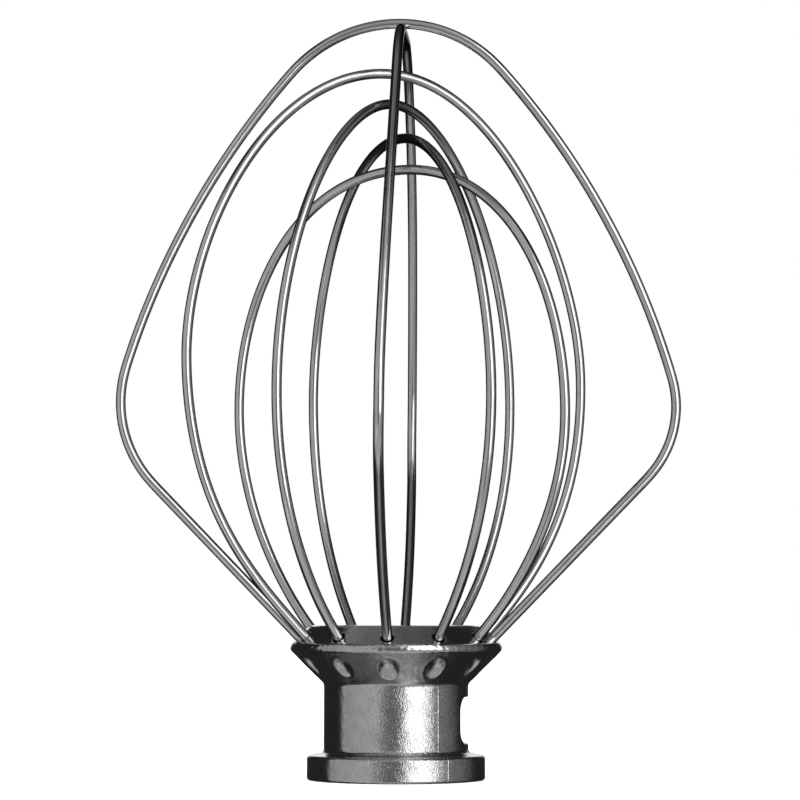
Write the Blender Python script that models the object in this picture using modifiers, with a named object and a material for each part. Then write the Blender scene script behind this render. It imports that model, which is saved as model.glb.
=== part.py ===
"""Wire whip for a planetary stand mixer.

One cast hub with a bayonet drive socket, and six bent wire loops whose ends sit
in twelve holes drilled round the hub's upper cone, with a stake mark under each
hole. Sizes are millimetres and angles degrees. The frame's origin is the centre
of the flange's end face, and +Z runs from that face to the crown of the wires.
Azimuths turn about Z: 0 is -Y and 90 is +X.
"""

import math

import bmesh
import bpy
from mathutils import Matrix, Vector
from mathutils.geometry import interpolate_bezier

MM = 0.001

# ---- hub, a turned outline ----
FLANGE_R, FLANGE_H, FLANGE_EDGE = 21.4, 5.8, 0.6
FLANGE_RISE = 0.7  # the flange's upper face climbs this much towards the neck
NECK_R, NECK_TOP_Z = 17.36, 22.9
NECK_FOOT_FILLET, NECK_TOP_FILLET = 1.1, 0.5
RIM_R, RIM_Z, RIM_ROUND = 25.95, 31.7, 1.28
TOP_R, TOP_Z, TOP_EDGE = 20.9, 36.9, 0.35
FILLET_STEPS, HUB_STEPS = 3, 72
HUB_MERGE = 0.02  # points closer than this are joined where the outline meets the axis

# ---- drive socket in the hub ----
BORE_R, BORE_DEPTH, BORE_CHAMFER = 6.6, 28.0, 0.5
KEYWAY_AZIMUTH, KEYWAY_WIDTH, KEYWAY_REACH = 130.0, 6.0, 12.0
KEYWAY_FOOT_Z, KEYWAY_TOP_Z = -2.0, 19.7  # the cutter starts clear of the end face
WINDOW_AZIMUTH, WINDOW_REACH = 90.0, FLANGE_R
WINDOW_FOOT_Z, WINDOW_TOP_Z = 8.8, 19.75
WINDOW_INNER_WIDTH, WINDOW_OUTER_WIDTH = 12.9, 16.6  # the side core's draft
WINDOW_CORNER, CORNER_STEPS = 3.2, 4

# ---- wire holes ----
WIRE_R, HOLE_GAP = 1.2, 0.3
HOLE_R = WIRE_R + HOLE_GAP
HOLE_COUNT, FIRST_HOLE_AZIMUTH = 12, -5.0
HOLE_PITCH = 360.0 / HOLE_COUNT
HOLE_MOUTH = Vector((23.55, 34.1))  # radius and height where the hole meets the upper cone
HOLE_DEPTH = 10.0
HOLE_OVERRUN = 3.0  # the drill stands out of the mouth by this much
HOLE_SEGMENTS = 16
WIRE_DEPTH = HOLE_DEPTH - 0.5  # the wire stops short of the hole's floor
LEG_ANGLE = math.radians(44.0)  # a leg leaves the hub at this angle to the axis
LEG_DIRECTION = Vector((math.sin(LEG_ANGLE), math.cos(LEG_ANGLE)))  # radius and height

# ---- stake marks ----
STAKE_CENTRE = (21.38, 25.5)  # radius and height of the punch's centre, just off the lower cone
STAKE_TILT = 18.0  # the punch's floor stands this much steeper than the cone
STAKE_HALF = (2.6, 4.4, 1.8)  # across, along the floor, into the cone
STAKE_SEGMENTS, STAKE_RINGS = 16, 10

# ---- wire loops ----
LEG_STRAIGHT = 2.0  # straight run of a round loop before it starts to bend
TWIST_TO_Z = 90.0  # a loop's twist is complete at this height
SHIFT_FROM_Z, SHIFT_TO_Z = 75.0, 165.0  # a loop's crown is pushed off the axis between these
PRESS_EASE = 0.3  # how gently a crown turns into the part that is pressed flat
LEAN_RANGE, LEAN_HALVINGS = (4.0, 36.0), 50  # the search for a kite loop's lean after its corner
ARC_STEPS = 40
LOWER_SPAN_POINTS, UPPER_SPAN_POINTS = 60, 80
TURN_STEP, LONGEST_STEP = math.radians(10.0), 16.0  # a path's points are thinned to these
SHORTEST_END = 1.0  # a point closer than this to the path's end is dropped
WIRE_BEVEL_RESOLUTION = 2

# In both tables, hole is leg A's, counted from the first; leg B is in the opposite
# one. Pairs are for legs A and B, but shift is along and across the loop's plane.

# Kite loops: crown height, the straight length and corner radius of each leg, the
# long side's radius, and the side's slope where the crown arc begins. The under
# loop passes beneath the top one, where its crown is pressed flat below the press
# height so that the two don't touch.
KITE_LOOPS = {
    "outer_wire_top": dict(hole=3, crown=182.83, straight=(52.88, 51.32), corner=(24.8, 28.9),
                           side=197.3, crown_slope=41.37, twist=0.44, shift=(0.14, 0.0),
                           press=None),
    "outer_wire_under": dict(hole=0, crown=181.5, straight=(51.6, 51.6), corner=(27.1, 27.1),
                             side=197.2, crown_slope=41.56, twist=1.6, shift=(0.0, 1.25),
                             press=180.1),
}
# Round loops: crown height, the half width of each leg and the height where it is
# widest, and the handle lengths at the start, below the widest point, above it and
# at the crown. They are shares of the lower span's chord for the first two, of the
# upper span's rise for the third, and of the half width for the last.
ROUND_LOOPS = {
    "inner_wire_1": dict(hole=-2, crown=170.5, half=(54.45, 51.3), wide_z=(98.8, 97.6),
                         handles=(0.24, 0.485, 0.426, 0.566), twist=1.18, shift=(1.2, -0.7)),
    "inner_wire_2": dict(hole=-1, crown=162.9, half=(48.1, 50.7), wide_z=(91.05, 91.9),
                         handles=(0.06, 0.558, 0.521, 0.489), twist=0.24, shift=(-0.1, 0.2)),
    "inner_wire_3": dict(hole=1, crown=154.4, half=(50.6, 50.15), wide_z=(90.05, 93.3),
                         handles=(0.124, 0.516, 0.426, 0.625), twist=0.1, shift=(-0.13, -0.32)),
    "inner_wire_4": dict(hole=2, crown=147.0, half=(47.9, 48.2), wide_z=(86.55, 90.9),
                         handles=(0.088, 0.494, 0.49, 0.664), twist=-0.12, shift=(0.03, 0.0)),
}


def clear_scene():
    for obj in list(bpy.data.objects):
        bpy.data.objects.remove(obj, do_unlink=True)


def new_collection(name):
    made = bpy.data.collections.new(name)
    bpy.context.scene.collection.children.link(made)
    return made


def turned_to(azimuth):
    """Rotation that takes +X to the given azimuth."""
    return Matrix.Rotation(math.radians(azimuth - 90.0), 4, "Z")


def turned_to_hole(index):
    return turned_to(FIRST_HOLE_AZIMUTH + index * HOLE_PITCH)


# ---------------------------------------------------------------- materials


def metal(name, colour, roughness):
    made = bpy.data.materials.new(name)
    made.use_nodes = True
    shader = next(node for node in made.node_tree.nodes if node.type == "BSDF_PRINCIPLED")
    shader.inputs["Base Color"].default_value = colour
    shader.inputs["Metallic"].default_value = 1.0
    shader.inputs["Roughness"].default_value = roughness
    made.diffuse_color = colour
    return made


def cast_aluminium():
    return metal("hub_cast_aluminium", colour=(0.60, 0.60, 0.61, 1.0), roughness=0.24)


def stainless(wire_name):
    return metal(wire_name + "_stainless", colour=(0.56, 0.56, 0.57, 1.0), roughness=0.20)


# ---------------------------------------------------------------- hub


def filleted(corners):
    """An outline of (radius, height) with each corner's stated round put in as an arc."""
    points = []
    for i, (x, z, round_r) in enumerate(corners):
        here = Vector((x, z))
        if not round_r:
            points.append(here)
            continue
        to_last = (Vector(corners[i - 1][:2]) - here).normalized()
        to_next = (Vector(corners[i + 1][:2]) - here).normalized()
        half = to_last.angle(to_next) / 2
        centre = here + (to_last + to_next).normalized() * (round_r / math.sin(half))
        start = here + to_last * (round_r / math.tan(half)) - centre
        end = here + to_next * (round_r / math.tan(half)) - centre
        sweep = start.angle_signed(end)
        for step in range(FILLET_STEPS + 1):
            angle = -sweep * step / FILLET_STEPS
            points.append(centre + Matrix.Rotation(angle, 2) @ start)
    return points


def hub_outline():
    """The hub's section, down its outer side from the top face and up the bore."""
    return filleted([
        # radius, height, round
        (0.0, TOP_Z, 0),
        (TOP_R, TOP_Z, TOP_EDGE),
        (RIM_R, RIM_Z, RIM_ROUND),
        (NECK_R, NECK_TOP_Z, NECK_TOP_FILLET),
        (NECK_R, FLANGE_H + FLANGE_RISE, NECK_FOOT_FILLET),
        (FLANGE_R, FLANGE_H, FLANGE_EDGE),
        (FLANGE_R, 0.0, FLANGE_EDGE),
        (BORE_R + BORE_CHAMFER, 0.0, 0),
        (BORE_R, BORE_CHAMFER, 0),
        (BORE_R, BORE_DEPTH, 0),
        (0.0, BORE_DEPTH, 0),
    ])


def turned_body(name, outline, into):
    """The outline swept round Z by a screw modifier."""
    mesh = bpy.data.meshes.new(name)
    points = [(point.x * MM, 0.0, point.y * MM) for point in outline]
    mesh.from_pydata(points, [(i, i + 1) for i in range(len(points) - 1)], [])
    obj = bpy.data.objects.new(name, mesh)
    into.objects.link(obj)
    screw = obj.modifiers.new("turn", "SCREW")
    screw.axis = "Z"
    screw.steps = screw.render_steps = HUB_STEPS
    screw.use_merge_vertices = True
    screw.merge_threshold = HUB_MERGE * MM
    screw.use_smooth_shade = True
    return obj


def cutter_from(name, shape, into):
    """A hidden cutter object made from a bmesh, which is freed."""
    mesh = bpy.data.meshes.new(name)
    bmesh.ops.recalc_face_normals(shape, faces=shape.faces)
    shape.to_mesh(mesh)
    shape.free()
    obj = bpy.data.objects.new(name, mesh)
    obj.display_type = "WIRE"
    obj.hide_render = True
    into.objects.link(obj)
    return obj


def box_cutter(name, azimuth, reach, widths, heights, into, corner=0.0):
    """A block from the hub's axis out along the azimuth.

    Widths are at the axis and at the outer end, heights are the foot's and the
    top's, and the corner is the round on the edges that run outward."""
    inner_width, outer_width = widths
    foot_z, top_z = heights
    shape = bmesh.new()
    bmesh.ops.create_cube(shape, size=1.0)
    size = Matrix.Diagonal((reach * MM, MM, (top_z - foot_z) * MM, 1.0))
    place = Matrix.Translation(Vector((reach / 2, 0.0, (foot_z + top_z) / 2)) * MM)
    bmesh.ops.transform(shape, matrix=place @ size, verts=shape.verts)
    for vert in shape.verts:
        vert.co.y *= inner_width if vert.co.x < reach * MM / 2 else outer_width
    if corner:
        # Only the edges that run outward lie within about 45 degrees of X.
        outward = [edge for edge in shape.edges
                   if abs((edge.verts[0].co - edge.verts[1].co).normalized().x) > 0.7]
        bmesh.ops.bevel(shape, geom=outward, offset=corner * MM, segments=CORNER_STEPS,
                        profile=0.5, affect="EDGES")
    bmesh.ops.transform(shape, matrix=turned_to(azimuth), verts=shape.verts)
    return cutter_from(name, shape, into)


def keyway_cutter(into):
    return box_cutter("keyway_cutter", KEYWAY_AZIMUTH, KEYWAY_REACH,
                      widths=(KEYWAY_WIDTH, KEYWAY_WIDTH),
                      heights=(KEYWAY_FOOT_Z, KEYWAY_TOP_Z), into=into)


def window_cutter(into):
    return box_cutter("window_cutter", WINDOW_AZIMUTH, WINDOW_REACH,
                      widths=(WINDOW_INNER_WIDTH, WINDOW_OUTER_WIDTH),
                      heights=(WINDOW_FOOT_Z, WINDOW_TOP_Z), into=into, corner=WINDOW_CORNER)


def wire_hole_cutter(into):
    """Twelve drills that slope into the upper cone along the wires' legs."""
    length = HOLE_DEPTH + HOLE_OVERRUN
    tilt = Matrix.Rotation(LEG_ANGLE, 4, "Y")
    mouth = Matrix.Translation(Vector((HOLE_MOUTH.x, 0.0, HOLE_MOUTH.y)) * MM)
    drop = Matrix.Translation((0.0, 0.0, (length / 2 - HOLE_DEPTH) * MM))
    shape = bmesh.new()
    for index in range(HOLE_COUNT):
        bmesh.ops.create_cone(
            shape, cap_ends=True, segments=HOLE_SEGMENTS, radius1=HOLE_R * MM,
            radius2=HOLE_R * MM, depth=length * MM,
            matrix=turned_to_hole(index) @ mouth @ tilt @ drop)
    return cutter_from("wire_hole_cutter", shape, into)


def stake_cutter(into):
    """Twelve oval punches in the lower cone, one below each wire hole."""
    cone = Vector((RIM_R - NECK_R, RIM_Z - NECK_TOP_Z)).normalized()
    floor = Matrix.Rotation(math.radians(STAKE_TILT), 2) @ cone
    # Local X runs across, Y along the punch's floor and Z out of the cone.
    basis = Matrix((
        (0.0, floor.x, floor.y),
        (1.0, 0.0, 0.0),
        (0.0, floor.y, -floor.x),
    )).to_4x4()
    centre = Matrix.Translation(Vector((STAKE_CENTRE[0], 0.0, STAKE_CENTRE[1])) * MM)
    size = Matrix.Diagonal((*STAKE_HALF, 1.0))
    shape = bmesh.new()
    for index in range(HOLE_COUNT):
        bmesh.ops.create_uvsphere(
            shape, u_segments=STAKE_SEGMENTS, v_segments=STAKE_RINGS, radius=MM,
            matrix=turned_to_hole(index) @ centre @ basis @ size)
    return cutter_from("stake_cutter", shape, into)


def build_hub(parts, cutters):
    hub = turned_body("hub", hub_outline(), parts)
    for make_cutter in (keyway_cutter, window_cutter, wire_hole_cutter, stake_cutter):
        tool = make_cutter(cutters)
        cut = hub.modifiers.new(tool.name, "BOOLEAN")
        cut.operation = "DIFFERENCE"
        cut.solver = "EXACT"
        cut.object = tool
    hub.data.materials.append(cast_aluminium())
    return hub


# ---------------------------------------------------------------- legs
# A leg is a list of (radius, height) points from the hole's mouth to the crown.


def arc(start, radius, heading0, heading1):
    """Points of a bend. Heading is measured from +Z, and grows as the wire turns inward."""
    headings = (heading0 + (heading1 - heading0) * i / ARC_STEPS for i in range(ARC_STEPS + 1))
    return [
        Vector((start.x + radius * (math.cos(heading) - math.cos(heading0)),
                start.y + radius * (math.sin(heading) - math.sin(heading0))))
        for heading in headings
    ]


def leaning_kite_leg(lean, straight, corner, side, crown_slope):
    """A straight run, the corner, the long side, and the crown arc that closes at the axis."""
    slope = math.radians(crown_slope)
    points = [HOLE_MOUTH, HOLE_MOUTH + LEG_DIRECTION * straight]
    points += arc(points[-1], corner, -LEG_ANGLE, lean)[1:]
    points += arc(points[-1], side, lean, slope)[1:]
    points += arc(points[-1], points[-1].x / math.cos(slope), slope, math.pi / 2)[1:]
    return points


def kite_leg(crown, straight, corner, side, crown_slope):
    """The leg whose corner is bent just far enough for the crown to reach its height."""
    low, high = (math.radians(lean) for lean in LEAN_RANGE)
    for _ in range(LEAN_HALVINGS):
        middle = (low + high) / 2
        reached = leaning_kite_leg(middle, straight, corner, side, crown_slope)[-1].y
        low, high = (middle, high) if reached > crown else (low, middle)
    return leaning_kite_leg((low + high) / 2, straight, corner, side, crown_slope)


def round_leg(crown, half, wide_z, handles):
    """A short straight run, a span to the widest point, and a span over to the crown."""
    at_start, below_wide, above_wide, at_crown = handles
    start = HOLE_MOUTH + LEG_DIRECTION * LEG_STRAIGHT
    wide = Vector((half, wide_z))
    top = Vector((0.0, crown))
    span, rise = (wide - start).length, crown - wide_z
    up = Vector((0.0, 1.0))
    lower = interpolate_bezier(start, start + LEG_DIRECTION * at_start * span,
                               wide - up * below_wide * span, wide, LOWER_SPAN_POINTS)
    upper = interpolate_bezier(wide, wide + up * above_wide * rise,
                               top + Vector((at_crown * half, 0.0)), top, UPPER_SPAN_POINTS)
    return [HOLE_MOUTH] + list(lower) + list(upper)[1:]


# ---------------------------------------------------------------- loops


def eased(share):
    """A smooth step from 0 to 1."""
    share = min(max(share, 0.0), 1.0)
    return share * share * (3.0 - 2.0 * share)


def pressed(height, limit):
    """The height, eased so that it stays under the limit."""
    if limit is None:
        return height
    return height - PRESS_EASE * math.log1p(math.exp((height - limit) / PRESS_EASE))


def placed(point, side, twist, shift, press):
    """A leg's point in the loop's frame, with leg A (side 1) on +X and leg B (-1) on -X."""
    into_crown = eased((point.y - SHIFT_FROM_Z) / (SHIFT_TO_Z - SHIFT_FROM_Z))
    turn = math.radians(twist) * eased((point.y - HOLE_MOUTH.y) / (TWIST_TO_Z - HOLE_MOUTH.y))
    x = side * point.x + shift[0] * into_crown
    y = shift[1] * into_crown
    return Vector((x * math.cos(turn) - y * math.sin(turn),
                   x * math.sin(turn) + y * math.cos(turn), pressed(point.y, press)))


def thinned(points):
    """The same path with a point only where it has turned or run on far enough."""
    kept, turned, run = [points[0]], 0.0, 0.0
    for last, here, ahead in zip(points, points[1:], points[2:]):
        run += (here - last).length
        turned += (here - last).angle(ahead - here, 0.0)
        if turned >= TURN_STEP or run >= LONGEST_STEP:
            kept.append(here)
            turned = run = 0.0
    if (points[-1] - kept[-1]).length < SHORTEST_END:
        kept.pop()
    return kept + [points[-1]]


def loop_path(leg_a, leg_b, twist, shift, press=None):
    """From leg A's tip in its hole, over the crown, to leg B's tip."""
    tip = HOLE_MOUTH - LEG_DIRECTION * WIRE_DEPTH
    path = [placed(point, 1, twist, shift, press) for point in [tip] + leg_a]
    path += [placed(point, -1, twist, shift, press) for point in reversed([tip] + leg_b[:-1])]
    return thinned(path)


def wire_object(name, path, hole, into):
    curve = bpy.data.curves.new(name, "CURVE")
    curve.dimensions = "3D"
    curve.bevel_depth = WIRE_R * MM
    curve.bevel_resolution = WIRE_BEVEL_RESOLUTION
    curve.use_fill_caps = True
    spline = curve.splines.new("POLY")
    spline.points.add(len(path) - 1)
    for spline_point, where in zip(spline.points, path):
        spline_point.co = (*(where * MM), 1.0)
    spline.use_smooth = True
    obj = bpy.data.objects.new(name, curve)
    obj.rotation_euler = turned_to_hole(hole).to_euler()
    into.objects.link(obj)
    curve.materials.append(stainless(name))
    return obj


def build_kite_wire(name, loop, into):
    legs = [kite_leg(loop["crown"], straight, corner, loop["side"], loop["crown_slope"])
            for straight, corner in zip(loop["straight"], loop["corner"])]
    path = loop_path(*legs, loop["twist"], loop["shift"], loop["press"])
    return wire_object(name, path, loop["hole"], into)


def build_round_wire(name, loop, into):
    legs = [round_leg(loop["crown"], half, wide_z, loop["handles"])
            for half, wide_z in zip(loop["half"], loop["wide_z"])]
    path = loop_path(*legs, loop["twist"], loop["shift"])
    return wire_object(name, path, loop["hole"], into)


def main():
    clear_scene()
    parts = new_collection("mixer_wire_whip")
    cutters = new_collection("cutters")
    frame = bpy.data.objects.new("whip_frame", None)
    parts.objects.link(frame)
    pieces = [build_hub(parts, cutters)]
    pieces += [build_kite_wire(name, loop, parts) for name, loop in KITE_LOOPS.items()]
    pieces += [build_round_wire(name, loop, parts) for name, loop in ROUND_LOOPS.items()]
    for piece in pieces:
        piece.parent = frame


main()
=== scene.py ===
"""A wire whisk: a cast aluminium hub with six loops of steel wire rising from it.

The hub's axis is Z and its flange rests on z = 0. Azimuth 0 is -Y, towards the camera,
and azimuth 90 is +X, to the camera's right. Sizes are millimetres unless a comment says
otherwise; the meshes are written in metres.
"""
import math

import bmesh
import bpy
import numpy as np
from mathutils import Matrix, Vector
from mathutils.geometry import interpolate_bezier


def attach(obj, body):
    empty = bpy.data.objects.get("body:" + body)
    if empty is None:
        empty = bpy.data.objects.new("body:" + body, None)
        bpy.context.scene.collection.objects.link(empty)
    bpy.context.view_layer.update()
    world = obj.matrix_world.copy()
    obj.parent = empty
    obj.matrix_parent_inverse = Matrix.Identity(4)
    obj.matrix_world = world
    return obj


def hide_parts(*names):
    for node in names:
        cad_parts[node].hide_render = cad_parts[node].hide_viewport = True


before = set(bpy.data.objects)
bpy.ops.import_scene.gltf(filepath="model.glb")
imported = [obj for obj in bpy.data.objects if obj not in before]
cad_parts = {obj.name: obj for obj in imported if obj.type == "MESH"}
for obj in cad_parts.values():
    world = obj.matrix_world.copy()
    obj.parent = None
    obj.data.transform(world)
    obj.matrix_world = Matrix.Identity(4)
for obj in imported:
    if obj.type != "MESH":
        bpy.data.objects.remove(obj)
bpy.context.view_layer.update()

MM = 0.001

# ---------------------------------------------------------------- sizes

FLANGE_R, FLANGE_H, FLANGE_EDGE = 21.4, 5.8, 0.6
FLANGE_RISE = 0.7  # the flange's upper face climbs this much towards the neck
NECK_R, NECK_TOP_Z, NECK_FILLET = 17.36, 22.9, 1.1
NECK_Z0, NECK_Z1 = 3.0, 27.0  # the neck's hidden ends, inside the flange and the cone
RIM_R, RIM_Z, RIM_ROUND = 26.1, 31.58, 1.6
TOP_R, TOP_Z, TOP_EDGE = 20.9, 36.9, 0.45
CONE_FILLET = 0.4
PARTING_AZ = (35.3, 215.3)  # the two halves of the die meet here
PARTING_HEIGHT, PARTING_WIDTH = 0.055, 0.15

BORE_R, BORE_DEPTH, BORE_ROUND = 6.6, 28.0, 0.8
KEYWAY_AZ, KEYWAY_W, KEYWAY_REACH, KEYWAY_TOP_Z = 130.0, 6.0, 12.0, 19.7
KEYWAY_ROUND, KEYWAY_FILLET = 0.6, 0.4
WINDOW_AZ, WINDOW_Z0, WINDOW_Z1, WINDOW_CORNER = 90.0, 8.8, 19.75, 3.2
WINDOW_INNER_W, WINDOW_OUTER_W, WINDOW_REACH = 12.9, 16.6, 21.4
WINDOW_FILLET = 0.5
SOCKET_EDGE = 0.45  # rounding where bore, keyway and window break the skin

WIRE_R, GAP = 1.2, 0.3
HOLE_COUNT, FIRST_HOLE_AZ = 12, -5.0
HOLE_PITCH = 360.0 / HOLE_COUNT
HOLE_MOUTH, LEG_ANGLE = (23.55, 34.1), 44.0  # radius and height; degrees out from the axis
HOLE_DEPTH, WIRE_DEPTH = 10.0, 9.5
HOLE_END_ROUND, HOLE_EDGE = 0.4, 0.26
STAKE_CENTRE, STAKE_TILT = (21.38, 25.5), 18.0
STAKE_HALF = (2.6, 4.4, 1.8)  # sideways, up the cone, into the cone
STAKE_JITTER = (0.10, 0.12, 0.05)  # sideways, in height, into the cone
STAKE_EDGE, STAKE_LIP = 0.22, 0.05

LEG_STRAIGHT, TWIST_TO_Z, SHIFT_FROM_Z, SHIFT_TO_Z, PRESS_EASE = 2.0, 90.0, 75.0, 165.0, 0.3
# hole: the hole of the first leg, counted in pitches; the second leg is opposite.
# crown: top height of the centre line. twist is in degrees, shift is (x, y) at the crown.
# Pairs of leg sizes are for the first and the second leg. tone: painted shade, the same steel
# made a little darker on some loops.
# Kite loops: straight run, corner radius, side radius, slope in degrees where side meets crown.
KITE_LOOPS = {
    "outer_wire_top": dict(
        hole=3, crown=182.83, straight=(52.88, 51.32), corner=(24.8, 28.9),
        side=197.3, crown_slope=41.37, twist=0.44, shift=(0.14, 0.0), tone=1.0),
    "outer_wire_under": dict(
        hole=0, crown=181.5, straight=(51.6, 51.6), corner=(27.1, 27.1),
        side=197.2, crown_slope=41.56, twist=1.6, shift=(0.0, 1.55), press=180.1, tone=0.95),
}
# Round loops: half width, height of the widest point, and the curve handles as shares of span.
ROUND_LOOPS = {
    "inner_wire_1": dict(
        hole=-2, crown=170.5, half=(54.45, 51.3), wide_z=(98.8, 97.6),
        handles=(0.24, 0.485, 0.426, 0.566), twist=1.18, shift=(1.2, -0.7), tone=1.0),
    "inner_wire_2": dict(
        hole=-1, crown=162.9, half=(48.1, 50.7), wide_z=(91.05, 91.9),
        handles=(0.06, 0.558, 0.521, 0.489), twist=0.24, shift=(-0.1, 0.2), tone=0.96),
    "inner_wire_3": dict(
        hole=1, crown=154.4, half=(50.6, 50.15), wide_z=(90.05, 93.3),
        handles=(0.124, 0.516, 0.426, 0.625), twist=0.1, shift=(-0.13, -0.32), tone=0.96),
    "inner_wire_4": dict(
        hole=2, crown=147.0, half=(47.9, 48.2), wide_z=(86.55, 90.9),
        handles=(0.088, 0.494, 0.49, 0.664), twist=-0.12, shift=(0.03, 0.0), tone=1.0),
}
KITE_STEPS = (60, 60, 140, 90)  # straight, corner, side, crown
ROUND_POINTS = (140, 160)  # below and above the widest point

WIRE_SIDES = 28
WIRE_STEP = 0.8
WIRE_END_SCALE, WIRE_END_CHAMFER = 0.86, 0.17
HUB_VOXEL = 0.25

LEG_DIRECTION = Vector((math.sin(math.radians(LEG_ANGLE)), math.cos(math.radians(LEG_ANGLE))))
LOWER_SLOPE = Vector((RIM_R - NECK_R, RIM_Z - NECK_TOP_Z)).normalized()
UPPER_SLOPE = Vector((RIM_R - TOP_R, TOP_Z - RIM_Z)).normalized()


def linked(name, data):
    made = bpy.data.objects.new(name, data)
    bpy.context.scene.collection.objects.link(made)
    return made


# ---------------------------------------------------------------- hub as a distance field
# The casting is written as signed distances, so every edge where two surfaces meet
# gets a real round or fillet.


def round_and(a, b, rounding):
    """Where both are inside, with the edge between them rounded off."""
    return (np.minimum(-rounding, np.maximum(a, b))
            + np.hypot(np.maximum(rounding + a, 0.0), np.maximum(rounding + b, 0.0)))


def round_or(a, b, fillet):
    """Where either is inside, with a fillet in the corner between them."""
    return (np.maximum(fillet, np.minimum(a, b))
            - np.hypot(np.maximum(fillet - a, 0.0), np.maximum(fillet - b, 0.0)))


def polar(x, y):
    return np.hypot(x, y), np.degrees(np.arctan2(x, -y))


def arc_from(line, radius, azimuth):
    """The way round the hub from an azimuth line."""
    return radius * np.radians((azimuth - line + 180.0) % 360.0 - 180.0)


def parting_ridge(line, radius, azimuth, z):
    """The thin, uneven ridge the die leaves up the flange and neck."""
    along = arc_from(line, radius, azimuth)
    on_skin = (np.clip((NECK_TOP_Z - 0.1 - z) / 0.5, 0.0, 1.0)
               * np.clip((z - 0.15) / 0.3, 0.0, 1.0))
    uneven = 0.75 + 0.15 * np.sin(z * 2.1 + line) + 0.12 * np.sin(z * 5.3 + 1.0)
    return (PARTING_HEIGHT * uneven * on_skin * np.exp(-(along / PARTING_WIDTH) ** 2)
            * (radius > 12.0))


def outer_body(radius, azimuth, z):
    climb = math.atan2(FLANGE_RISE, FLANGE_R - NECK_R)
    face = (z - FLANGE_H) * math.cos(climb) + (radius - FLANGE_R) * math.sin(climb)
    flange = round_and(round_and(radius - FLANGE_R, face, FLANGE_EDGE), -z, FLANGE_EDGE)
    neck = np.maximum(np.maximum(radius - NECK_R, NECK_Z0 - z), z - NECK_Z1)
    lower = LOWER_SLOPE.y * (radius - NECK_R) - LOWER_SLOPE.x * (z - NECK_TOP_Z)
    upper = UPPER_SLOPE.y * (radius - RIM_R) + UPPER_SLOPE.x * (z - RIM_Z)
    cone = round_and(round_and(lower, upper, RIM_ROUND), z - TOP_Z, TOP_EDGE)
    body = round_or(round_or(flange, neck, NECK_FILLET), cone, CONE_FILLET)
    for line in PARTING_AZ:
        body = body - parting_ridge(line, radius, azimuth, z)
    return body


def turned_axes(x, y, azimuth):
    """Distances out along an azimuth and sideways from it."""
    angle = math.radians(azimuth)
    return (x * math.sin(angle) - y * math.cos(angle),
            x * math.cos(angle) + y * math.sin(angle))


def socket_cut(x, y, radius, z):
    """The bore up the middle, its keyway, and the window through the neck."""
    bore = round_and(radius - BORE_R, z - BORE_DEPTH, BORE_ROUND)
    out, side = turned_axes(x, y, KEYWAY_AZ)
    keyway = round_and(np.abs(side) - KEYWAY_W / 2, out - KEYWAY_REACH, KEYWAY_ROUND)
    keyway = round_and(keyway, z - KEYWAY_TOP_Z, KEYWAY_ROUND)
    keyway = np.maximum(keyway, -out)
    out, side = turned_axes(x, y, WINDOW_AZ)
    half_w = (WINDOW_INNER_W + (WINDOW_OUTER_W - WINDOW_INNER_W) * out / WINDOW_REACH) / 2
    across = np.abs(side) - (half_w - WINDOW_CORNER)
    high = (np.abs(z - (WINDOW_Z0 + WINDOW_Z1) / 2)
            - ((WINDOW_Z1 - WINDOW_Z0) / 2 - WINDOW_CORNER))
    window = (np.hypot(np.maximum(across, 0.0), np.maximum(high, 0.0))
              + np.minimum(np.maximum(across, high), 0.0) - WINDOW_CORNER)
    window = np.maximum(window, -out)
    return round_or(round_or(bore, keyway, KEYWAY_FILLET), window, WINDOW_FILLET)


def wire_hole(out, side, z):
    lean = math.radians(LEG_ANGLE)
    from_mouth, above = out - HOLE_MOUTH[0], z - HOLE_MOUTH[1]
    along = from_mouth * math.sin(lean) + above * math.cos(lean)
    off = from_mouth * math.cos(lean) - above * math.sin(lean)
    return round_and(np.hypot(off, side) - (WIRE_R + GAP), -(along + HOLE_DEPTH), HOLE_END_ROUND)


def stake_punch(out, side, z, sector):
    """The ellipsoid punched into the cone below a hole."""
    slope = Matrix.Rotation(math.radians(STAKE_TILT), 2) @ LOWER_SLOPE
    # Each punch mark sits a little differently, as hand-set stakes do.
    sideways = STAKE_JITTER[0] * np.sin(sector * 3.7 + 4.0)
    raised = STAKE_JITTER[1] * np.sin(sector * 2.4 + 0.7)
    inward = STAKE_JITTER[2] * np.sin(sector * 5.1 + 2.0)
    from_centre, above = out - STAKE_CENTRE[0], z - STAKE_CENTRE[1] - raised
    up = from_centre * slope.x + above * slope.y
    off = from_centre * slope.y - above * slope.x + inward
    scaled = np.stack([(side + sideways) / STAKE_HALF[0], up / STAKE_HALF[1],
                       off / STAKE_HALF[2]])
    size = np.maximum(np.sqrt((scaled ** 2).sum(0)), 1e-6)
    steepness = np.sqrt(((scaled / np.array(STAKE_HALF)[:, None]) ** 2).sum(0))
    return size * (size - 1.0) / np.maximum(steepness, 1e-6)


def skin_relief(x, y, z, radius):
    """Slow waviness of the cast and buffed skin, and dings on the rim's nose."""
    wave = (np.sin(0.91 * x + 0.37 * z + 1.0) * np.sin(0.83 * y - 0.29 * z + 2.0)
            + 0.7 * np.sin(1.7 * z + 0.6 * x) * np.sin(1.3 * y + 1.1 * x + 0.4)
            + 0.5 * np.sin(2.3 * x - 1.9 * y + 1.4 * z))
    nose = np.exp(-((z - RIM_Z) / 1.5) ** 2) * (radius > 23.5)
    dings = (np.sin(1.9 * x + 0.7) * np.sin(2.3 * y + 1.3)
             + 0.8 * np.sin(3.7 * x - 1.1 * y + 2.0) * np.sin(2.9 * z + 1.2 * y)
             + 0.5 * np.sin(5.3 * y + 2.1 * x + 3.1 * z))
    return 0.006 * wave, 0.022 * nose * dings


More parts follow.
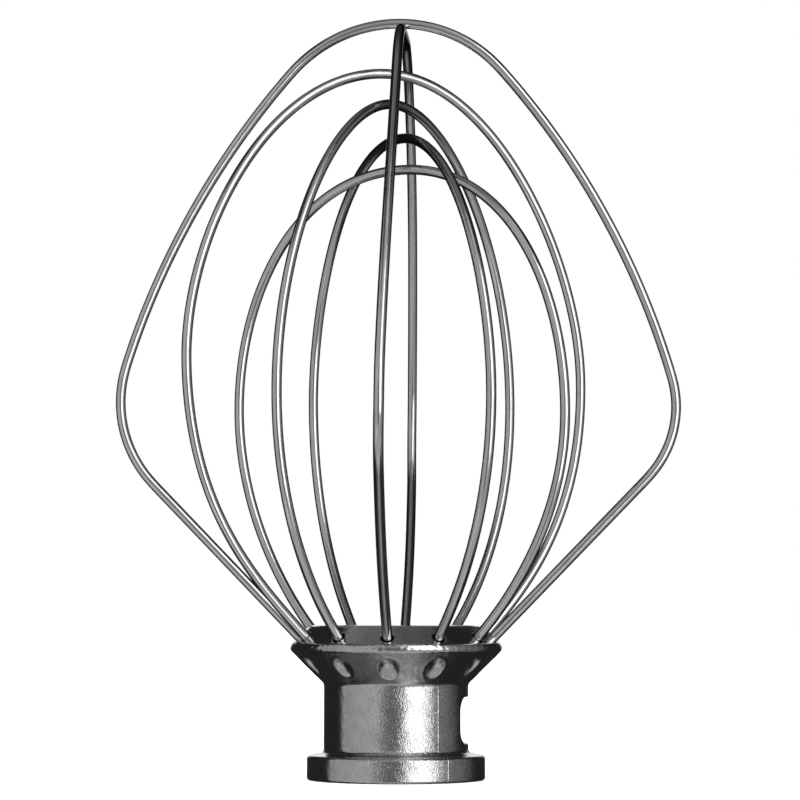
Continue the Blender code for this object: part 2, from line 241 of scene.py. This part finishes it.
def hub_distance(points):
    x, y, z = points[:, 0], points[:, 1], points[:, 2]
    radius, azimuth = polar(x, y)
    body = round_and(outer_body(radius, azimuth, z), -socket_cut(x, y, radius, z), SOCKET_EDGE)
    # One sector of the ring of holes and stake marks stands for all twelve.
    sector = np.floor((azimuth - FIRST_HOLE_AZ + HOLE_PITCH / 2) / HOLE_PITCH)
    local = np.radians(azimuth - FIRST_HOLE_AZ - sector * HOLE_PITCH)
    out, side = radius * np.cos(local), radius * np.sin(local)
    body = round_and(body, -wire_hole(out, side, z), HOLE_EDGE)
    punch = stake_punch(out, side, z, sector)
    # The punch leaves a low raised lip round its mark.
    near = np.exp(-((punch - 0.35) / 0.38) ** 2) * np.exp(-(np.abs(body) / 0.9) ** 2)
    body = round_and(body - STAKE_LIP * near * (z < RIM_Z - 0.6), -punch, STAKE_EDGE)
    wave, dings = skin_relief(x, y, z, radius)
    return body + wave + dings


def hub_gradient(points, reach=0.02):
    gradient = np.zeros_like(points)
    for corner in np.array([(1, -1, -1), (-1, -1, 1), (-1, 1, -1), (1, 1, 1)], float):
        gradient += hub_distance(points + corner * reach)[:, None] * corner
    return gradient / (4.0 * reach)


def settle(points, rounds):
    """Moves points onto the casting's surface."""
    for _ in range(rounds):
        gradient = hub_gradient(points)
        steepness = np.maximum((gradient ** 2).sum(1), 0.15)[:, None]
        step = -hub_distance(points)[:, None] * gradient / steepness
        length = np.linalg.norm(step, axis=1, keepdims=True)
        points = points + step * np.minimum(1.0, 0.25 / np.maximum(length, 1e-9))
    return points


def relax(points, edges, share):
    """Evens out the spacing of the points."""
    total, count = np.zeros_like(points), np.zeros(len(points))
    for near, far in ((0, 1), (1, 0)):
        np.add.at(total, edges[:, near], points[edges[:, far]])
        np.add.at(count, edges[:, near], 1.0)
    return points + share * (total / np.maximum(count, 1.0)[:, None] - points)


def mesh_points(mesh):
    flat = np.empty(len(mesh.vertices) * 3, np.float32)
    mesh.vertices.foreach_get("co", flat)
    return flat.reshape(-1, 3).astype(float) / MM


def set_points(mesh, points):
    mesh.vertices.foreach_set("co", (points * MM).astype(np.float32).ravel())
    mesh.update()


def edge_pairs(mesh):
    pairs = np.empty(len(mesh.edges) * 2, np.int32)
    mesh.edges.foreach_get("vertices", pairs)
    return pairs.reshape(-1, 2)


def near_parting(points):
    radius, azimuth = polar(points[:, 0], points[:, 1])
    near = np.zeros(len(points), bool)
    for line in PARTING_AZ:
        along = arc_from(line, radius, azimuth)
        near |= (np.abs(along) < 0.8) & (points[:, 2] < NECK_TOP_Z + 0.4) & (radius > 14.0)
    return near


def even_skin():
    """The CAD hub remeshed into even voxels, as a start for the casting."""
    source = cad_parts["hub"].data.copy()
    bm = bmesh.new()
    bm.from_mesh(source)
    bmesh.ops.remove_doubles(bm, verts=bm.verts, dist=1e-7)
    bm.to_mesh(source)
    bm.free()
    rough = linked("hub_rough", source)
    grid = rough.modifiers.new("even_skin", "REMESH")
    grid.mode = "VOXEL"
    grid.voxel_size = HUB_VOXEL * MM
    grid.adaptivity = 0.0
    depsgraph = bpy.context.evaluated_depsgraph_get()
    mesh = bpy.data.meshes.new_from_object(rough.evaluated_get(depsgraph))
    bpy.data.objects.remove(rough, do_unlink=True)
    mesh.name = "hub_casting"
    return mesh


def split_edges(mesh, chosen):
    """Halves the edges that have both ends chosen."""
    bm = bmesh.new()
    bm.from_mesh(mesh)
    bm.verts.ensure_lookup_table()
    cut = [e for e in bm.edges if chosen[e.verts[0].index] and chosen[e.verts[1].index]]
    bmesh.ops.subdivide_edges(bm, edges=cut, cuts=1, use_grid_fill=True)
    bm.to_mesh(mesh)
    bm.free()


def build_hub():
    mesh = even_skin()
    points = settle(mesh_points(mesh), 5)
    edges = edge_pairs(mesh)
    for _ in range(3):
        points = settle(relax(points, edges, 0.45), 2)
    points = settle(points, 3)
    set_points(mesh, points)

    split_edges(mesh, near_parting(points))
    points = settle(mesh_points(mesh), 4)
    set_points(mesh, points)

    obj = linked("hub_casting", mesh)
    for polygon in mesh.polygons:
        polygon.use_smooth = True
    normals = hub_gradient(points, 0.03)
    normals /= np.maximum(np.linalg.norm(normals, axis=1, keepdims=True), 1e-9)
    mesh.normals_split_custom_set_from_vertices([tuple(n) for n in normals])
    return obj


# ---------------------------------------------------------------- wires
# A leg is drawn from its hole up to the crown, as (distance from the axis, height).


def eased(share):
    share = min(max(share, 0.0), 1.0)
    return share * share * (3.0 - 2.0 * share)


def arc(start, radius, heading0, heading1, count):
    """An arc between two headings, in radians from straight up, positive towards the axis."""
    return [Vector((start.x + radius * (math.cos(h) - math.cos(heading0)),
                    start.y + radius * (math.sin(h) - math.sin(heading0))))
            for h in (heading0 + (heading1 - heading0) * i / count for i in range(count + 1))]


def kite_leg_for(lean, straight, corner, side, crown_slope):
    """A straight run, the corner, the long side, and the crown arc that closes at the axis."""
    run_steps, corner_steps, side_steps, crown_steps = KITE_STEPS
    mouth = Vector(HOLE_MOUTH)
    points = [mouth + LEG_DIRECTION * straight * i / run_steps for i in range(run_steps + 1)]
    points += arc(points[-1], corner, -math.radians(LEG_ANGLE), lean, corner_steps)[1:]
    slope = math.radians(crown_slope)
    points += arc(points[-1], side, lean, slope, side_steps)[1:]
    crown_r = points[-1].x / math.cos(slope)
    points += arc(points[-1], crown_r, slope, math.pi / 2, crown_steps)[1:]
    return points


def kite_leg(crown, straight, corner, side, crown_slope):
    """The leg whose corner is bent just far enough for the crown to reach its height."""
    low, high = math.radians(4.0), math.radians(36.0)
    for _ in range(50):
        middle = (low + high) / 2
        reached = kite_leg_for(middle, straight, corner, side, crown_slope)[-1].y
        low, high = (middle, high) if reached > crown else (low, middle)
    return kite_leg_for((low + high) / 2, straight, corner, side, crown_slope)


def round_leg(crown, half, wide_z, handles):
    """A short straight, then one curve out to the widest point and one in to the crown."""
    start = Vector(HOLE_MOUTH) + LEG_DIRECTION * LEG_STRAIGHT
    wide, top = Vector((half, wide_z)), Vector((0.0, crown))
    span, rise = (wide - start).length, crown - wide_z
    up = Vector((0.0, 1.0))
    lower = interpolate_bezier(start, start + LEG_DIRECTION * handles[0] * span,
                               wide - up * handles[1] * span, wide, ROUND_POINTS[0])
    upper = interpolate_bezier(wide, wide + up * handles[2] * rise,
                               top + Vector((handles[3] * half, 0.0)), top, ROUND_POINTS[1])
    return [Vector(HOLE_MOUTH)] + list(lower) + list(upper)[1:]


def pressed(height, limit):
    """The height, eased so that it stays under the limit."""
    if limit is None:
        return height
    return height - PRESS_EASE * math.log1p(math.exp((height - limit) / PRESS_EASE))


def placed(point, side, twist, shift, press):
    """A leg's point in 3D, on the first (1) or second (-1) side of the loop."""
    into_crown = eased((point.y - SHIFT_FROM_Z) / (SHIFT_TO_Z - SHIFT_FROM_Z))
    climbed = eased((point.y - HOLE_MOUTH[1]) / (TWIST_TO_Z - HOLE_MOUTH[1]))
    turn = math.radians(twist) * climbed
    x, y = side * point.x + shift[0] * into_crown, shift[1] * into_crown
    return (x * math.cos(turn) - y * math.sin(turn), x * math.sin(turn) + y * math.cos(turn),
            pressed(point.y, press))


def loop_path(first_leg, second_leg, *bend):
    tip = Vector(HOLE_MOUTH) - LEG_DIRECTION * WIRE_DEPTH
    path = [placed(point, 1, *bend) for point in [tip] + first_leg]
    path += [placed(point, -1, *bend) for point in reversed([tip] + second_leg[:-1])]
    return np.array(path)


def run_along(path):
    """Length travelled at each point of the path."""
    return np.concatenate([[0.0], np.cumsum(np.linalg.norm(np.diff(path, axis=0), axis=1))])


def evenly(path, step):
    """The path again with its points a fixed step apart, and its bends a little eased."""
    run = run_along(path)
    count = int(round(run[-1] / step))
    stops = np.linspace(0.0, run[-1], count + 1)
    even = np.stack([np.interp(stops, run, path[:, k]) for k in range(3)], 1)
    for _ in range(6):
        even[1:-1] += 0.25 * (even[:-2] + even[2:] - 2.0 * even[1:-1])
    return even


def tube(name, path):
    """A round wire swept along the path, with chamfered cut ends.

    Its UVs are the share of the way round, and millimetres along.
    """
    tangent = np.gradient(path, axis=0)
    tangent /= np.linalg.norm(tangent, axis=1, keepdims=True)
    side = np.cross(tangent[0], (0.0, 1.0, 0.0))
    side /= np.linalg.norm(side)
    frames = []
    for ahead in tangent:
        side = side - ahead * side.dot(ahead)
        side /= np.linalg.norm(side)
        frames.append((side, np.cross(ahead, side)))
    run = run_along(path)
    chamfer = WIRE_END_CHAMFER
    # centre, frame, scale, length along
    rings = [(path[0], frames[0], WIRE_END_SCALE, 0.0),
             (path[0] + tangent[0] * chamfer, frames[0], 1.0, chamfer)]
    rings += [(path[i], frames[i], 1.0, run[i]) for i in range(1, len(path) - 1)]
    rings += [(path[-1] - tangent[-1] * chamfer, frames[-1], 1.0, run[-1] - chamfer),
              (path[-1], frames[-1], WIRE_END_SCALE, run[-1])]
    bm = bmesh.new()
    uv_layer = bm.loops.layers.uv.new("UVMap")
    angles = [2.0 * math.pi * k / WIRE_SIDES for k in range(WIRE_SIDES)]
    grid = []
    for centre, (right, up), scale, _ in rings:
        grid.append([bm.verts.new(tuple(
            (centre + WIRE_R * scale * (right * math.cos(a) + up * math.sin(a))) * MM))
            for a in angles])
    for i in range(len(rings) - 1):
        for k in range(WIRE_SIDES):
            j = (k + 1) % WIRE_SIDES
            face = bm.faces.new((grid[i][k], grid[i][j], grid[i + 1][j], grid[i + 1][k]))
            face.smooth = True
            corners = ((k, i), (k + 1, i), (k + 1, i + 1), (k, i + 1))
            for loop, (step, ring) in zip(face.loops, corners):
                loop[uv_layer].uv = (step / WIRE_SIDES, rings[ring][3])
    bm.faces.new(list(reversed(grid[0])))
    bm.faces.new(grid[-1])
    bmesh.ops.recalc_face_normals(bm, faces=bm.faces)
    mesh = bpy.data.meshes.new(name)
    bm.to_mesh(mesh)
    bm.free()
    return linked(name, mesh)


def build_wire(name, loop):
    if name in KITE_LOOPS:
        legs = [kite_leg(loop["crown"], loop["straight"][i], loop["corner"][i],
                         loop["side"], loop["crown_slope"]) for i in (0, 1)]
    else:
        legs = [round_leg(loop["crown"], loop["half"][i], loop["wide_z"][i], loop["handles"])
                for i in (0, 1)]
    path = evenly(loop_path(*legs, loop["twist"], loop["shift"], loop.get("press")), WIRE_STEP)
    azimuth = FIRST_HOLE_AZ + loop["hole"] * HOLE_PITCH
    turn = np.array(Matrix.Rotation(math.radians(azimuth - 90.0), 3, "Z"))
    return tube(name + "_bent", path @ turn.T)


# ---------------------------------------------------------------- node trees


class Signal:
    """A node's output; arithmetic on it adds math nodes."""

    def __init__(self, net, socket):
        self.net, self.socket = net, socket

    def __add__(self, other):
        return self.net.math("ADD", self, other)

    def __radd__(self, other):
        return self.net.math("ADD", other, self)

    def __sub__(self, other):
        return self.net.math("SUBTRACT", self, other)

    def __rsub__(self, other):
        return self.net.math("SUBTRACT", other, self)

    def __mul__(self, other):
        return self.net.math("MULTIPLY", self, other)

    def __truediv__(self, other):
        return self.net.math("DIVIDE", self, other)


class Net:
    """A short way to write a node tree."""

    def __init__(self, tree):
        self.tree = tree
        tree.nodes.clear()

    def node(self, kind, inputs=(), **settings):
        made = self.tree.nodes.new("ShaderNode" + kind)
        for key, value in settings.items():
            setattr(made, key, value)
        for key, value in dict(inputs).items():
            if isinstance(value, Signal):
                self.tree.links.new(value.socket, made.inputs[key])
            else:
                made.inputs[key].default_value = value
        return made

    def signal(self, kind, inputs=(), output=0, **settings):
        return Signal(self, self.node(kind, inputs, **settings).outputs[output])

    def math(self, operation, a, b=0.0, clamp=False):
        return self.signal("Math", {0: a, 1: b}, operation=operation, use_clamp=clamp)

    def ramp(self, value, over, to=(0.0, 1.0), smooth=True):
        return self.signal("MapRange", enumerate((value, *over, *to)), clamp=True,
                           interpolation_type="SMOOTHSTEP" if smooth else "LINEAR")

    def band(self, value, over, soft):
        """1 inside the range and 0 outside, with edges as wide as soft."""
        low, high = over
        rise = self.ramp(value, over=(low - soft / 2, low + soft / 2))
        return rise * self.ramp(value, over=(high - soft / 2, high + soft / 2), to=(1.0, 0.0))

    def vector(self, x, y, z):
        return self.signal("CombineXYZ", {0: x, 1: y, 2: z})

    def parts(self, vector):
        made = self.node("SeparateXYZ", {0: vector})
        return [Signal(self, socket) for socket in made.outputs]

    def noise(self, where, scale=1.0, detail=1.0, roughness=0.5, distortion=0.0):
        return self.signal("TexNoise", {"Vector": where, "Scale": scale, "Detail": detail,
                                        "Roughness": roughness, "Distortion": distortion})

    def mix(self, share, a, b):
        return self.signal("Mix", {0: share, 6: a, 7: b}, output=2, data_type="RGBA")

    def tint(self, colour, towards, mask, most):
        """The colour, moved towards another by the mask times its greatest share."""
        return self.mix(mask * most, colour, towards)

    def bump(self, height, distance, normal=None):
        inputs = {"Height": height, "Distance": distance, "Strength": 1.0}
        if normal is not None:
            inputs["Normal"] = normal
        return self.signal("Bump", inputs)

    def metal(self, colour, roughness, normal, extra=()):
        shader = self.signal("BsdfPrincipled", {
            "Base Color": colour, "Roughness": roughness, "Metallic": 1.0,
            "Normal": normal, **dict(extra)})
        self.node("OutputMaterial", {"Surface": shader})


def new_material(name):
    made = bpy.data.materials.new(name)
    made.use_nodes = True
    return made, Net(made.node_tree)


def grey(level, blue=None):
    return (level, level, level if blue is None else blue, 1.0)


# ---------------------------------------------------------------- materials
# Bump distances are in metres.


def cast_aluminium():
    """Buffed die-cast aluminium: orange peel on neck and flange, fine streaks on the cones."""
    material, net = new_material("cast_aluminium")
    where = net.signal("TexCoord", output="Object")
    where = net.signal("VectorMath", {0: where, "Scale": 1000.0}, operation="SCALE")
    x, y, z = net.parts(where)
    radius = net.math("SQRT", x * x + y * y)
    azimuth = net.math("ARCTAN2", x, y)
    cone = net.ramp(z, over=(22.4, 23.4))
    peel = net.noise(where, scale=0.95, detail=3.0, roughness=0.55)
    grain = net.noise(where, scale=3.2)
    fleck = net.noise(where, scale=3.8)
    speck = net.noise(net.vector(y, z, x), scale=3.4)
    pits = net.noise(where, scale=5.5, detail=2.0)
    blotch = net.noise(where, scale=0.22, detail=4.0, roughness=0.6, distortion=0.4)
    lap = radius * 0.7 + z * 0.9

    def turned(around, along, detail, roughness):
        """Noise drawn out round the axis."""
        stretched = net.vector(net.math("COSINE", azimuth) * around,
                               net.math("SINE", azimuth) * around, lap * along)
        return net.noise(stretched, detail=detail, roughness=roughness)

    streak = turned(around=2.2, along=5.0, detail=4.0, roughness=0.65)
    fine_streak = turned(around=6.0, along=16.0, detail=2.0, roughness=0.6)
    # The skin is coarser from a little left of the front round to the right.
    coarse = net.ramp(x * 0.82 + y * -0.57, over=(0.0, 9.0), to=(0.30, 1.0))
    # Which patches of the skin were buffed smooth, and which kept the casting's grain.
    rubbed = net.ramp(blotch, over=(0.36, 0.66))
    edge = net.signal("NewGeometry", output="Pointiness")
    # Convex edges: their colour gets a painted highlight, and they are also a little smoother.
    edge_highlight_and_polish = net.ramp(edge, over=(0.515, 0.56))
    # Creases and hollows, where the colour gets painted shade.
    crease_shade = net.ramp(edge, over=(0.485, 0.44))

    colour = net.mix(rubbed, grey(0.60, 0.612), grey(0.70, 0.708))
    colour = net.tint(colour, grey(0.34, 0.35), net.ramp(pits, over=(0.60, 0.74)), most=0.35)
    colour = net.tint(colour, grey(0.46, 0.47), net.ramp(streak, over=(0.35, 0.7)),
                      most=cone * 0.22)
    # Painted shade: the creases and hollows are made darker.
    colour = net.tint(colour, grey(0.22, 0.225), crease_shade, most=0.45)
    # Painted highlight: the convex edges are made lighter.
    colour = net.tint(colour, grey(0.86, 0.865), edge_highlight_and_polish, most=0.5)
    grit = coarse * (1.0 - cone * 0.55)
    colour = net.tint(colour, grey(0.30, 0.305), net.ramp(fleck, over=(0.46, 0.62)),
                      most=grit * 0.62)
    colour = net.tint(colour, grey(0.97), net.ramp(speck, over=(0.55, 0.68)), most=grit * 0.85)

    roughness = net.ramp(blotch, over=(0.3, 0.7), to=(0.14, 0.10)) - cone * 0.015
    roughness = roughness + net.ramp(grain, over=(0.35, 0.75), to=(-0.02, 0.06))
    roughness = roughness - edge_highlight_and_polish * 0.04

    # Peel and grain fade on the cones and where rubbed; the streaks grow on the cones.
    casting = 1.0 - cone * 0.72
    height = peel * 0.22 + (grain * coarse) * 1.0
    height = height * (casting * (1.25 - rubbed * 0.55))
    laps = (streak + fine_streak * 0.35) * (0.12 + cone * 0.5)
    normal = net.bump(height, distance=0.00006)
    normal = net.bump(laps, distance=0.000016, normal=normal)
    normal = net.bump(pits, distance=0.000006, normal=normal)
    net.metal(colour, roughness, normal)
    return material


def drawn_stainless(name, seed, tone):
    """Cold-drawn wire: long die lines, a soft satin, and scuffs from bending and washing."""
    material, net = new_material(name)
    around, along, _ = net.parts(net.signal("UVMap", uv_map="UVMap"))
    turn = around * (2.0 * math.pi)
    run = along + seed * 531.0
    round_x, round_y = net.math("COSINE", turn), net.math("SINE", turn)

    def lines(across, along, **noise):
        """Noise with its own scale across the wire and along it."""
        return net.noise(net.vector(round_x * across, round_y * across, run * along), **noise)

    die = lines(across=7.0, along=0.035, detail=3.0, roughness=0.6)
    hair = lines(across=19.0, along=0.22, detail=2.0, roughness=0.6)
    satin = lines(across=1.3, along=0.12, detail=4.0, roughness=0.6)
    scuff = lines(across=2.6, along=1.4, detail=5.0, roughness=0.7, distortion=0.6)
    wave = lines(across=0.5, along=0.30)

    # tone scales the whole colour: painted shade that makes some loops a little darker.
    colour = net.mix(net.ramp(satin, over=(0.3, 0.7)),
                     grey(0.70 * tone, 0.71 * tone), grey(0.82 * tone, 0.825 * tone))
    colour = net.tint(colour, grey(0.50 * tone, 0.505 * tone),
                      net.ramp(die, over=(0.52, 0.70)), most=0.30)
    colour = net.tint(colour, grey(0.90 * tone), net.ramp(scuff, over=(0.62, 0.80)), most=0.45)
    # Painted shade: the wire's colour darkens towards its outline.
    facing = net.signal("LayerWeight", {"Blend": 0.5}, output="Facing")
    colour = net.mix(net.ramp(facing, over=(0.34, 0.62), to=(0.0, 0.75)),
                     colour, grey(0.10, 0.102))
    roughness = net.ramp(satin, over=(0.3, 0.7), to=(0.12, 0.17))
    roughness = roughness + net.ramp(scuff, over=(0.55, 0.8)) * 0.10
    normal = net.bump(die * 0.8 + hair * 0.25, distance=0.000003)
    normal = net.bump(wave, distance=0.00006, normal=normal)
    normal = net.bump(scuff, distance=0.0000025, normal=normal)
    net.metal(colour, roughness, normal, {"Specular Tint": grey(0.30)})
    return material


def pale_floor():
    material, net = new_material("pale_floor")
    tone = net.noise(net.signal("TexCoord", output="Object"), scale=3.0, detail=3.0)
    colour = net.mix(tone, grey(0.955, 0.957), grey(0.975))
    net.node("OutputMaterial", {"Surface": net.signal("BsdfDiffuse", {"Color": colour})})
    return material


# ---------------------------------------------------------------- studio
# The soft boxes stand at fixed angles from the camera, so each view of the object is
# lit as the first one is. Angles are degrees; azimuth 0 is back towards the camera,
# and positive is to its right.

DARK = 0.022
# from azimuth, to azimuth, from elevation, to elevation, level at each azimuth, edge widths
SOFT_BOXES = [
    (-96.0, -22.0, -38.0, 44.0, 0.31, 0.50, 6.0, 9.0),    # large grey panel, camera left
    (-22.0, 14.0, -34.0, 7.0, 0.12, 0.15, 5.0, 8.0),      # the dim room behind the camera
    (-22.0, 14.0, 7.0, 66.0, 0.27, 0.30, 5.0, 10.0),      # its lighter upper part
    (14.0, 53.0, -20.0, 46.0, 1.9, 1.9, 6.0, 9.0),        # bright panel, right of the camera
    (14.0, 53.0, 46.0, 68.0, 0.45, 0.35, 6.0, 10.0),      # the wall above it
    (53.0, 74.0, -50.0, 46.0, 0.37, 0.22, 6.0, 16.0),     # spill at its right edge
    (74.0, 112.0, -40.0, 40.0, 0.20, 0.07, 10.0, 16.0),
    (-78.0, 50.0, -68.0, -34.0, 0.36, 0.42, 22.0, 10.0),  # the table in front
    (14.0, 50.0, -34.0, -20.0, 0.50, 0.42, 8.0, 8.0),
    (50.0, 72.0, -68.0, -34.0, 0.19, 0.12, 10.0, 10.0),
    (-40.0, 50.0, -82.0, -68.0, 0.26, 0.30, 20.0, 10.0),
]


def studio_world(rig):
    world = bpy.data.worlds.new("studio")
    bpy.context.scene.world = world
    world.use_nodes = True
    net = Net(world.node_tree)
    where = net.signal("TexCoord", output="Object", object=rig)
    x, y, z = net.parts(net.signal("VectorMath", {0: where}, operation="NORMALIZE"))
    azimuth = net.math("DEGREES", net.math("ARCTAN2", x, y * -1.0))
    elevation = net.math("DEGREES", net.math("ARCSINE", z))

    total = net.math("ADD", DARK, 0.0)
    for az0, az1, el0, el1, level0, level1, az_soft, el_soft in SOFT_BOXES:
        level = net.ramp(azimuth, over=(az0, az1), to=(level0, level1), smooth=False)
        box = net.band(azimuth, (az0, az1), az_soft) * net.band(elevation, (el0, el1), el_soft)
        total = total + box * level

    # Two flat patches, laid out across and along as they would be on a ceiling and a table.
    rise = net.math("MAXIMUM", net.math("ABSOLUTE", z), 0.08)
    across, along = x / rise, y / rise
    above, below = net.ramp(z, over=(0.30, 0.42)), net.ramp(z, over=(-0.30, -0.42))
    ceiling = net.band(across, (-0.57, 0.42), soft=0.08) * net.band(along, (-0.9, 1.4), soft=0.4)
    overhead = ceiling * (
        above * net.ramp(across, over=(-0.55, 0.40), to=(0.175, 0.08), smooth=False))
    near_axis = (net.band(across, (-0.60, 0.46), soft=0.28) * 0.085
                 + net.band(across, (-0.22, 0.26), soft=0.24) * 0.15)
    table = near_axis * net.band(along, (-0.45, 1.0), soft=0.3) * below
    # A low bright strip on the side of the object away from the camera.
    behind = (net.ramp(net.math("ABSOLUTE", azimuth), over=(160.0, 167.0))
              * net.band(elevation, (0.0, 20.0), soft=6.0))
    total = total + (overhead + (table + behind * 0.95))

    # Reflections see the studio; the camera and diffuse light see plain white.
    path = net.node("LightPath")
    camera_ray = Signal(net, path.outputs["Is Camera Ray"])
    diffuse_ray = Signal(net, path.outputs["Is Diffuse Ray"])
    seen = net.math("ADD", camera_ray * 1.0, diffuse_ray * 1.0, clamp=True)
    strength = total * (1.0 - seen) + (seen + diffuse_ray * 0.9)
    shader = net.signal("Background", {"Color": grey(1.0), "Strength": strength})
    net.node("OutputWorld", {"Surface": shader})


def build_camera():
    lens = bpy.data.cameras.new("camera")
    lens.sensor_width, lens.lens = 36.0, 136.5885
    lens.shift_x, lens.shift_y = -0.0005, 0.08
    lens.clip_start, lens.clip_end = 0.01, 20.0
    camera = linked("camera", lens)
    camera.location = (0.0, -0.73114, 0.0400)
    camera.rotation_euler = [math.radians(angle) for angle in (90.0 + 2.799, -0.076, -0.079)]
    bpy.context.scene.camera = camera
    return camera


def build_overhead_panel():
    lamp = bpy.data.lights.new("overhead_panel", "AREA")
    lamp.shape, lamp.size, lamp.size_y, lamp.energy = "RECTANGLE", 1.2, 1.2, 6.0
    overhead = linked("overhead_panel", lamp)
    overhead.location = (0.0, -0.2, 1.3)
    overhead.rotation_euler = (math.radians(-8.0), 0.0, 0.0)
    overhead.visible_glossy = False


def build_floor():
    mesh = bpy.data.meshes.new("floor")
    bm = bmesh.new()
    bmesh.ops.create_grid(bm, x_segments=8, y_segments=8, size=3.0)
    bm.to_mesh(mesh)
    bm.free()
    floor = linked("floor", mesh)
    floor.location = (0.0, 0.0, -0.00006)
    floor.visible_glossy = False
    mesh.materials.append(pale_floor())


def build_studio():
    camera = build_camera()
    # The rig turns with the camera about Z and carries the world's light.
    rig = linked("studio_rig", None)
    follow = rig.constraints.new("COPY_ROTATION")
    follow.target = camera
    follow.use_x = follow.use_y = False
    studio_world(rig)
    build_overhead_panel()
    build_floor()
    view = bpy.context.scene.view_settings
    view.view_transform = "Standard"
    view.look = "None"


# ---------------------------------------------------------------- assembly

hub = build_hub()
hub.data.materials.clear()
hub.data.materials.append(cast_aluminium())
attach(hub, "root")
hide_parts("hub")

loops = {**KITE_LOOPS, **ROUND_LOOPS}
wires = {name: build_wire(name, loop) for name, loop in loops.items()}
for number, (name, wire) in enumerate(wires.items()):
    steel = drawn_stainless(name + "_stainless", seed=number + 1.0, tone=loops[name]["tone"])
    wire.data.materials.append(steel)
    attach(wire, "root")
    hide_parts(name)

build_studio()
